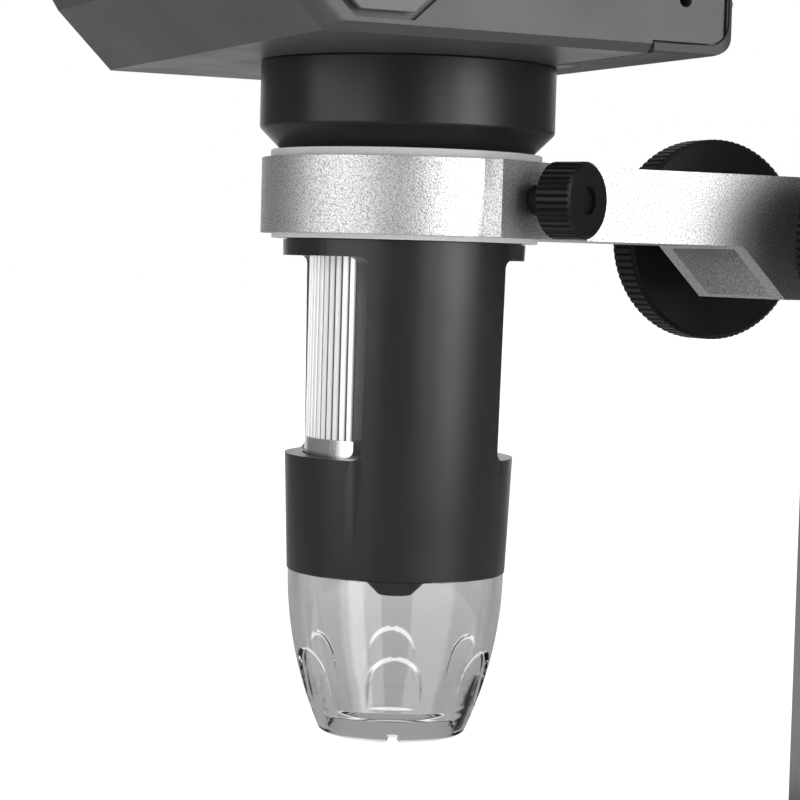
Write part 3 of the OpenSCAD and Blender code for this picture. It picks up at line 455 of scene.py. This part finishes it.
def turned_metal(name, color, roughness, stretch, grain_mm=0.25, depth_mm=0.008):
    material, tree, shader, place = start_finish(name, color, roughness, metallic=1.0)
    lines = add_noise(tree, place, grain_mm, detail=4.0, stretch=stretch)
    add_roughness(tree, shader, lines, roughness - 0.06, roughness + 0.08)
    dark = tuple(c * LINE_SHADE for c in color)
    add_tint(tree, shader, lines, dark, color)
    add_bump(tree, shader, lines, depth_mm, 0.5)
    return material


ALONG_Z = (1, 1, 0.03)
ALONG_X = (0.03, 1, 1)
ROUND_X = (1, 0.08, 0.08)
arm_alloy = blasted_alloy()
column_alloy = turned_metal("drawn anodised column", (0.66, 0.67, 0.69), 0.3, ALONG_Z)
steel = turned_metal("turned steel", (0.5, 0.51, 0.53), 0.26, ALONG_X)
brass = turned_metal("cut brass", (0.78, 0.58, 0.26), 0.28, ROUND_X)
socket_steel = turned_metal("plated steel", (0.66, 0.67, 0.69), 0.22, (1, 1, 1))
print("metals:", arm_alloy.name, column_alloy.name, steel.name, brass.name, socket_steel.name)

# %% [markdown]
# The focus wheel is a bright ribbed ring with a plain band at its foot. The
# finish paints shade between its ribs: it measures how far a point lies from the
# optical axis, and darkens the valleys with a painted shade. The ribs are less
# of a mirror than the band, so the metal share falls above it.

# %% Focus wheel
RIB_DEPTH = 0.37 * MM
FOOT_BAND = 3.2 * MM
BAND_EDGE = 0.1 * MM
RIB_METAL = 0.25
wheel_low, wheel_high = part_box("focus_wheel")
wheel_radius = (wheel_high.x - wheel_low.x) / 2


def ribbed_wheel():
    material, tree, shader, place = start_finish(
        "bright ribbed wheel", (0.9, 0.9, 0.91), 0.2, metallic=1.0)
    from_axis = vector_math(tree, "SUBTRACT", place, (axis_x, axis_y, 0))
    radius = vector_math(tree, "LENGTH", vector_math(tree, "MULTIPLY", from_axis, (1, 1, 0)))
    edges = (wheel_radius - RIB_DEPTH, wheel_radius - RIB_DEPTH / 2)
    # Painted shade: the colour gets darker towards the bottom of each rib valley.
    depth = smooth_step(tree, radius, edges, (0.0, 1.0))
    add_tint(tree, shader, depth, (0.12, 0.12, 0.125), (0.95, 0.95, 0.96))
    height = tree.nodes.new("ShaderNodeSeparateXYZ")
    tree.links.new(place, height.inputs[0])
    foot = wheel_low.z + FOOT_BAND
    edges = (foot - BAND_EDGE, foot + BAND_EDGE)
    metal = smooth_step(tree, height.outputs["Z"], edges, (1.0, RIB_METAL))
    tree.links.new(metal, shader.inputs["Metallic"])
    lines = add_noise(tree, place, 0.25, detail=4.0, stretch=(1, 1, 0.04))
    add_roughness(tree, shader, lines, 0.14, 0.3)
    add_bump(tree, shader, lines, 0.006, 0.6)
    return material


wheel_silver = ribbed_wheel()
print("wheel radius", round(wheel_radius / MM, 2), "mm")

# %% [markdown]
# The knobs and the thumb screw are black anodised aluminium. The dyed layer is
# matt and hides the metal, so the finish is a dark, dull one with a fine grain.
# The base is powder coated, which dries with a faint orange peel.

# %% Black anodised metal and powder coat
def anodised_black(name, roughness):
    material, tree, shader, place = start_finish(name, (0.006, 0.006, 0.0065), roughness, gloss=0.25)
    fine = add_noise(tree, place, 0.25, detail=4.0)
    add_roughness(tree, shader, fine, roughness - 0.06, roughness + 0.1)
    add_tint(tree, shader, fine, (0.004, 0.004, 0.0045), (0.009, 0.009, 0.0095))
    add_bump(tree, shader, fine, 0.01, 0.5)
    return material


def powder_coat():
    material, tree, shader, place = start_finish("black powder coat", (0.03, 0.03, 0.032), 0.5)
    peel = add_noise(tree, place, 1.1, detail=2.0)
    add_roughness(tree, shader, peel, 0.44, 0.56)
    add_tint(tree, shader, peel, (0.024, 0.024, 0.026), (0.036, 0.036, 0.039))
    add_bump(tree, shader, peel, 0.06, 0.5)
    return material


knob_black = anodised_black("anodised knobs", 0.4)
screw_black = anodised_black("anodised screw", 0.36)
lens_black = anodised_black("blackened lens tube", 0.6)
base_coat = powder_coat()
print("blacks:", knob_black.name, screw_black.name, lens_black.name, base_coat.name)

# %% [markdown]
# The nose is clear acrylic. It is a real wall with air inside, so plain
# refraction does the work, with the index of acrylic. The lens is the same idea
# with its own colour. The bezel is gloss black with faint smudges.

# %% Clear and glossy finishes
def clear_plastic():
    material, tree, shader, place = start_finish("clear acrylic", (0.98, 0.982, 0.985), 0.02, gloss=0.62)
    shader.inputs["Transmission Weight"].default_value = 1.0
    shader.inputs["IOR"].default_value = 1.49
    ripple = add_noise(tree, place, 9.0, detail=1.0)
    add_bump(tree, shader, ripple, 0.05, 0.3)
    return material


def coated_glass(name, color, transmission):
    material, tree, shader, place = start_finish(name, color, 0.03)
    shader.inputs["Transmission Weight"].default_value = transmission
    shader.inputs["IOR"].default_value = 1.52
    shader.inputs["Coat Weight"].default_value = 0.5
    smudge = add_noise(tree, place, 22.0, detail=3.0)
    add_roughness(tree, shader, smudge, 0.02, 0.07)
    return material


def piano_black():
    material, tree, shader, place = start_finish("piano black bezel", (0.008, 0.008, 0.009), 0.1)
    shader.inputs["Coat Weight"].default_value = 0.6
    shader.inputs["Coat Roughness"].default_value = 0.04
    smudge = add_noise(tree, place, 18.0, detail=3.0)
    add_roughness(tree, shader, smudge, 0.08, 0.16)
    return material


nose_clear = clear_plastic()
lens_glass = coated_glass("coated lens", (0.5, 0.62, 0.75), 0.8)
sensor_glass = coated_glass("sensor cover", (0.03, 0.045, 0.08), 0.0)
bezel_black = piano_black()
print("clear and gloss:", nose_clear.name, lens_glass.name, sensor_glass.name, bezel_black.name)

# %% [markdown]
# The screen is off, so its cover is dark glass. Its printed border is blacker
# than the picture area inside it. The glass is tilted, so the finish measures
# along the glass in both directions, and a point within both is in the picture.

# %% Screen cover
SCREEN_BORDER = 3.0 * MM


def within(tree, value, middle, reach):
    check = tree.nodes.new("ShaderNodeMath")
    check.operation = "COMPARE"
    check.inputs[1].default_value = middle
    check.inputs[2].default_value = reach
    tree.links.new(value, check.inputs[0])
    return check.outputs[0]


def screen_cover():
    material = coated_glass("screen cover", (0.006, 0.007, 0.009), 0.0)
    tree = material.node_tree
    place = tree.nodes.new("ShaderNodeTexCoord").outputs["Object"]
    low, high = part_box("screen_glass")
    middle = (low + high) / 2
    rise = Vector((0, high.y - low.y, high.z - low.z))
    both = tree.nodes.new("ShaderNodeMath")
    both.operation = "MULTIPLY"
    sides = ((Vector((1, 0, 0)), high.x - low.x), (rise.normalized(), rise.length))
    for socket, (direction, size) in zip(both.inputs, sides):
        along = vector_math(tree, "DOT_PRODUCT", place, direction)
        inside = within(tree, along, middle.dot(direction), size / 2 - SCREEN_BORDER)
        tree.links.new(inside, socket)
    add_tint(tree, tree.nodes["Principled BSDF"], both.outputs[0],
             (0.004, 0.004, 0.005), (0.028, 0.032, 0.04))
    return material


screen_glass = screen_cover()
print("screen border", SCREEN_BORDER / MM, "mm")

# %% [markdown]
# Circuit boards are a dyed lacquer over copper. A brick pattern, thinned to
# fine lines, stands for the tracks, and only shows where a board is seen.

# %% Circuit boards and lamps
TRACK_SCALE = 260
TRACK_WIDTH = 0.03


def board_finish(name, base, track):
    material, tree, shader, place = start_finish(name, base, 0.35)
    tracks = tree.nodes.new("ShaderNodeTexBrick")
    tracks.inputs["Scale"].default_value = TRACK_SCALE
    tracks.inputs["Mortar Size"].default_value = TRACK_WIDTH
    tracks.inputs["Color1"].default_value = (*base, 1)
    tracks.inputs["Color2"].default_value = (*base, 1)
    tracks.inputs["Mortar"].default_value = (*track, 1)
    tree.links.new(place, tracks.inputs["Vector"])
    tree.links.new(tracks.outputs["Color"], shader.inputs["Base Color"])
    return material


def lamp_finish():
    material, tree, shader, place = start_finish("lamp phosphor", (0.88, 0.8, 0.42), 0.3)
    cell = add_noise(tree, place, 1.2, detail=2.0)
    add_tint(tree, shader, cell, (0.8, 0.7, 0.32), (0.95, 0.9, 0.6))
    return material


board_green = board_finish("green lacquer board", (0.02, 0.14, 0.06), (0.05, 0.25, 0.11))
board_white = board_finish("white lacquer board", (0.78, 0.78, 0.76), (0.66, 0.66, 0.64))
phosphor = lamp_finish()
print("finishes in all:", len(bpy.data.materials))

# %% [markdown]
# Each solid gets the finish of its real material. The table names every node,
# so a node that is missed would show in the count.

# %% Finish of every solid
FINISHES = {
    "base_plate": base_coat, "rubber_feet": rubber, "stage_disc": stage_white,
    "column": column_alloy, "column_screws": steel, "rack": brass, "column_cap": cap_black,
    "clamp_arm": arm_alloy, "gib_pad": nylon, "gib_screw": steel,
    "thumb_screw": screw_black, "pinion": brass, "pinion_shaft": steel,
    "focus_knob_left": knob_black, "focus_knob_right": knob_black,
    "ring_bush": nylon, "bush_washer": nylon, "neck_collar": neck_black,
    "barrel_body": barrel_black, "focus_wheel": wheel_silver,
    "lens_tube": lens_black, "front_lens": lens_glass, "sensor_holder": neck_black,
    "sensor_board": board_green, "image_sensor": sensor_glass,
    "led_board": board_white, "leds": phosphor, "nose_cover": nose_clear,
    "head_housing": head_grey, "rear_cover": cover_grey, "screen_bezel": bezel_black,
    "screen_glass": screen_glass, "lcd_panel": lcd_grey, "main_board": board_green,
    "battery_pack": battery_blue, "usb_socket": socket_steel,
    "card_socket": socket_steel, "cover_screws": steel, "key_power": key_grey,
    "key_menu": key_grey, "key_up": key_grey, "key_down": key_grey,
    "key_ok": key_grey, "side_key": key_grey, "side_switch": board_green,
}


def dress(piece, material):
    piece.data.materials.clear()
    piece.data.materials.append(material)


for node_name, finish in FINISHES.items():
    dress(nodes[node_name], finish)
print("dressed", len(FINISHES), "of", len(nodes), "nodes")

# %% [markdown]
# Some nodes get a piece that stands for them. A solid's triangles are loose, so
# a copy is merged and its flat faces are joined before anything is done to it. A
# stand-in takes the node's finish and rides on its body, and the node is hidden.

# %% Copies that stand for a node
MERGE = 0.001 * MM
FLAT_ANGLE = math.radians(0.6)


def merged_copy(node_name, new_name):
    shape = bmesh.new()
    shape.from_mesh(nodes[node_name].data)
    bmesh.ops.remove_doubles(shape, verts=shape.verts, dist=MERGE)
    bmesh.ops.dissolve_limit(shape, angle_limit=FLAT_ANGLE, use_dissolve_boundaries=False,
                             verts=shape.verts, edges=shape.edges, delimit=set())
    return make_object(shape, new_name)


def shade_smooth(piece, sharp_angle):
    for face in piece.data.polygons:
        face.use_smooth = True
    piece.data.set_sharp_from_angle(angle=sharp_angle)


def stand_for(piece, node_name):
    dress(piece, FINISHES[node_name])
    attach(piece, nodes[node_name]["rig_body"])
    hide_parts(node_name)


# %% [markdown]
# Real edges are never knife-sharp: a small round catches a line of light. A
# Bevel modifier rounds only the edges that turn by more than the sharp angle, so
# the flat and the gently curved faces stay as they are. The widths are in
# millimetres.

# %% Rounded edges
SHARP_ANGLE = math.radians(28)


def soften(node_name, width_mm):
    piece = merged_copy(node_name, node_name + "_soft")
    bevel = piece.modifiers.new("rounded edges", "BEVEL")
    bevel.width = width_mm * MM
    bevel.segments = 2
    bevel.limit_method = "ANGLE"
    bevel.angle_limit = SHARP_ANGLE
    bevel.harden_normals = True
    shade_smooth(piece, SHARP_ANGLE)
    stand_for(piece, node_name)
    return piece


ROUNDED = {
    "neck_collar": 0.35, "clamp_arm": 0.3, "head_housing": 0.4, "rear_cover": 0.3,
    "screen_bezel": 0.35, "ring_bush": 0.15, "base_plate": 0.5, "column_cap": 0.3,
    "column": 0.2, "barrel_body": 0.3, "side_key": 0.15,
}
for node_name, width in ROUNDED.items():
    soft = soften(node_name, width)
    print(node_name, len(soft.data.polygons), "faces")

# %% [markdown]
# The nose is one clear moulding, and its whole wall shows. Its outline bulges
# like a thimble's: from the side it is one arc that starts straight down below the
# barrel and ends at the mouth, so the mouth's radius gives the arc's radius.

# %% Measures of the clear nose
NOSE_SPIGOT = 2.0 * MM
NOSE_WALL = 1.6 * MM
MOUTH_RADIUS = 12.4 * MM

nose_low, nose_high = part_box("nose_cover")
nose_top = nose_high.z - NOSE_SPIGOT
nose_radius = (nose_high.x - nose_low.x) / 2
nose_length = nose_top - nose_low.z
nose_drop = nose_radius - MOUTH_RADIUS
nose_arc = (nose_length ** 2 + nose_drop ** 2) / (2 * nose_drop)
spigot_bore = wheel_radius - NOSE_WALL
print("nose", round(nose_length / MM, 1), "mm long, arc radius", round(nose_arc / MM, 1), "mm")

# %% [markdown]
# A Screw modifier could turn a profile, but a spin gives a mesh whose vertices
# can be moved at once. The profile is an outer and an inner arc, joined by a few
# points at the mouth and at the spigot, and spun round the optical axis. The arcs
# are spins as well, of one point round the arc's centre.

# %% Profile and spin of the clear nose
RIM = 0.35 * MM
OUTER_ROWS = 84
INNER_ROWS = 24
NOSE_STEPS = 320


def arc_radius(depth, inset):
    return nose_radius - nose_arc + math.sqrt((nose_arc - inset) ** 2 - depth ** 2)


def draw_arc(shape, inset, start_depth, end_depth, steps):
    first = shape.verts.new((arc_radius(start_depth, inset), 0, nose_top - start_depth))
    sweep = math.asin(end_depth / (nose_arc - inset)) - math.asin(start_depth / (nose_arc - inset))
    bmesh.ops.spin(shape, geom=[first], cent=(nose_radius - nose_arc, 0, nose_top),
                   axis=(0, 1, 0), angle=sweep, steps=steps, use_merge=False,
                   use_normal_flip=False, use_duplicate=False)
    shape.verts.ensure_lookup_table()
    return first, shape.verts[-1]


def draw_line(shape, points, start, end):
    last = start
    for x, z in points:
        corner = shape.verts.new((x, 0, z))
        shape.edges.new((last, corner))
        last = corner
    shape.edges.new((last, end))


def spun_nose():
    shape = bmesh.new()
    foot = nose_length - RIM
    outer_top, outer_foot = draw_arc(shape, 0.0, 0.0, foot, OUTER_ROWS)
    inner_top, inner_foot = draw_arc(shape, NOSE_WALL, RIM, foot, INNER_ROWS)
    draw_line(shape, [(MOUTH_RADIUS - RIM, nose_low.z), (MOUTH_RADIUS - NOSE_WALL + RIM, nose_low.z)],
              outer_foot, inner_foot)
    draw_line(shape, [(wheel_radius, nose_top), (wheel_radius, nose_high.z),
                      (spigot_bore, nose_high.z), (spigot_bore, nose_top - RIM)],
              outer_top, inner_top)
    bmesh.ops.spin(shape, geom=shape.verts[:] + shape.edges[:], cent=(0, 0, 0), axis=(0, 0, 1),
                   angle=2 * math.pi, steps=NOSE_STEPS, use_merge=True,
                   use_normal_flip=False, use_duplicate=False)
    bmesh.ops.recalc_face_normals(shape, faces=shape.faces)
    return shape


nose_shape = spun_nose()
print("spun nose", len(nose_shape.verts), "points")

# %% [markdown]
# Six arch-shaped scallops give the thumb a hold on the nose, and one of them
# faces the camera. Their edges are crisp at the top and fade out towards the
# mouth, so they are pressed in by moving the outer wall's vertices, which a cut
# couldn't do. An arch is the set of points near the vertical line through its
# middle, or near the top end of that line, which makes the top round.

# %% Scallops of the clear nose
ARCHES = 6
ARCH_TURN = math.radians(-24.5)
ARCH_WIDTH = 9.2 * MM
ARCH_TOP = 0.46
ARCH_FADE = (0.6, 0.84)
ARCH_DEPTH = 0.36 * MM
ARCH_EDGE = 0.3 * MM


def smooth_rise(value, low, high):
    part = min(max((value - low) / (high - low), 0.0), 1.0)
    return part * part * (3 - 2 * part)


def press_scallop(vert, depth):
    part = depth / nose_length
    if part <= ARCH_TOP:
        return
    radius = vert.co.xy.length
    step = 2 * math.pi / ARCHES
    turn = (math.atan2(vert.co.y, vert.co.x) - ARCH_TURN + step / 2) % step - step / 2
    above = max(ARCH_TOP * nose_length + ARCH_WIDTH / 2 - depth, 0.0)
    inside = ARCH_WIDTH / 2 - math.hypot(turn * radius, above)
    pressed = smooth_rise(inside, 0.0, ARCH_EDGE) * (1 - smooth_rise(part, *ARCH_FADE))
    vert.co.xy *= (radius - ARCH_DEPTH * pressed) / radius


print(ARCHES, "arches,", round(ARCH_WIDTH / MM, 1), "mm wide")

# %% [markdown]
# Two faint lines run round the lip, and the mouth has a tiny round notch below
# the arch that faces the camera. Both are small moves of the same vertices. Then
# the nose goes to its place, and its smooth shading breaks only at real edges.

# %% Lip lines, notch and the finished nose
LIP_LINES = (5.2 * MM, 3.6 * MM)
LIP_LINE_WIDTH = 0.5 * MM
LIP_LINE_DEPTH = 0.06 * MM
NOTCH = 1.0 * MM
NOTCH_HEIGHT = 1.6 * NOTCH
NOSE_SHARP = math.radians(35)


def press_lip_lines(vert, depth):
    for height in LIP_LINES:
        apart = abs(nose_length - depth - height)
        if apart < LIP_LINE_WIDTH:
            vert.co.xy *= 1 - LIP_LINE_DEPTH * (1 - apart / LIP_LINE_WIDTH) / vert.co.xy.length


def raise_notch(vert, depth):
    turn = (math.atan2(vert.co.y, vert.co.x) - ARCH_TURN + math.pi) % (2 * math.pi) - math.pi
    across = abs(turn) * MOUTH_RADIUS
    if across < NOTCH:
        lift = math.sqrt(NOTCH ** 2 - across ** 2)
        vert.co.z += lift * smooth_rise(depth, nose_length - NOTCH_HEIGHT, nose_length - NOTCH / 4)


def add_nose(shape):
    for vert in shape.verts:
        depth = nose_top - vert.co.z
        if depth > 0 and vert.co.xy.length > arc_radius(depth, NOSE_WALL / 2):
            press_scallop(vert, depth)
            press_lip_lines(vert, depth)
        raise_notch(vert, depth)
    bmesh.ops.translate(shape, verts=shape.verts, vec=(axis_x, axis_y, 0))
    piece = make_object(shape, "nose_clear")
    shade_smooth(piece, NOSE_SHARP)
    stand_for(piece, "nose_cover")
    return piece


clear_nose = add_nose(nose_shape)
print("clear nose", len(clear_nose.data.polygons), "faces")

# %% [markdown]
# Each menu key carries a plain sign, printed in white: a ring with a bar for
# power, three bars for the menu, two arrowheads, and a dot for confirming. Each
# is drawn flat at the origin from circles and one-face grids.

# %% Shapes of the signs
SIGN_SIZE = 2.6 * MM
SIGN_LINE = 0.5 * MM
BAR_OFFSET = 0.36 * SIGN_SIZE
POWER_BAR = 0.62 * SIGN_SIZE
DOT_RADIUS = 0.32 * SIGN_SIZE
ROUND_STEPS = 32


def add_bar(shape, y, width, height):
    place = Matrix.Translation((0, y, 0)) @ Matrix.Diagonal((width, height, 1, 1))
    bmesh.ops.create_grid(shape, x_segments=1, y_segments=1, size=0.5, matrix=place)


def draw_power(shape):
    for radius in (SIGN_SIZE / 2, SIGN_SIZE / 2 - SIGN_LINE):
        bmesh.ops.create_circle(shape, segments=ROUND_STEPS, radius=radius)
    bmesh.ops.bridge_loops(shape, edges=shape.edges[:])
    add_bar(shape, BAR_OFFSET, SIGN_LINE, POWER_BAR)


def draw_menu(shape):
    for row in (-1, 0, 1):
        add_bar(shape, row * BAR_OFFSET, SIGN_SIZE, SIGN_LINE)


def draw_up(shape):
    bmesh.ops.create_circle(shape, cap_ends=True, segments=3, radius=SIGN_SIZE / 2)


def draw_down(shape):
    draw_up(shape)
    half_turn = Matrix.Rotation(math.pi, 3, "Z")
    bmesh.ops.rotate(shape, verts=shape.verts, cent=(0, 0, 0), matrix=half_turn)


def draw_dot(shape):
    bmesh.ops.create_circle(shape, cap_ends=True, segments=ROUND_STEPS, radius=DOT_RADIUS)


SIGNS = {"key_power": draw_power, "key_menu": draw_menu, "key_ok": draw_dot,
         "key_up": draw_up, "key_down": draw_down}
print("signs:", len(SIGNS))

# %% [markdown]
# A sign belongs in the middle of its key's top face. The keys are tilted with the
# screen, so the face is found by its direction and its height along it, and its
# centre and slope are read from the key's own triangles.

# %% Tops of the keys
UPWARD = 0.7


def key_top(node_name):
    mesh = nodes[node_name].data
    upward = [face for face in mesh.polygons if face.normal.z > UPWARD]
    normal = max(upward, key=lambda face: face.area).normal.copy()
    reach = max(face.center.dot(normal) for face in upward)
    flat = [face for face in upward if reach - face.center.dot(normal) < MERGE]
    area = sum(face.area for face in flat)
    centre = sum((face.center * face.area for face in flat), Vector()) / area
    return centre, normal


for node_name in SIGNS:
    print(node_name, "top at", [round(c / MM, 1) for c in key_top(node_name)[0]], "mm")

# %% [markdown]
# A printed sign stands proud by the thickness of its ink, so each flat shape is
# extruded a little and turned on to its key. It rides with the key when it is
# pressed.

# %% Signs on the keys
SIGN_PROUD = 0.06 * MM
sign_white = moulded("printed signs", (0.7, 0.71, 0.72), 0.5, 0.8, 0.004)


def add_sign(node_name, draw):
    centre, normal = key_top(node_name)
    shape = bmesh.new()
    draw(shape)
    grown = bmesh.ops.extrude_face_region(shape, geom=shape.faces[:])
    raised = [item for item in grown["geom"] if isinstance(item, bmesh.types.BMVert)]
    bmesh.ops.translate(shape, verts=raised, vec=(0, 0, SIGN_PROUD))
    across = Vector((1, 0, 0))
    along = normal.cross(across).normalized()
    place = Matrix.Translation(centre) @ Matrix((across, along, normal)).transposed().to_4x4()
    bmesh.ops.transform(shape, matrix=place, verts=shape.verts)
    bmesh.ops.recalc_face_normals(shape, faces=shape.faces)
    piece = make_object(shape, node_name + "_sign")
    dress(piece, sign_white)
    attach(piece, nodes[node_name]["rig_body"])
    return piece


for node_name, draw in SIGNS.items():
    sign = add_sign(node_name, draw)
    print(sign.name, len(sign.data.polygons), "faces")

# %% [markdown]
# The last step sets the view transform to Standard. The dressed object must not outgrow
# the solid one.

# %% The view transform
bpy.context.scene.view_settings.view_transform = "Standard"
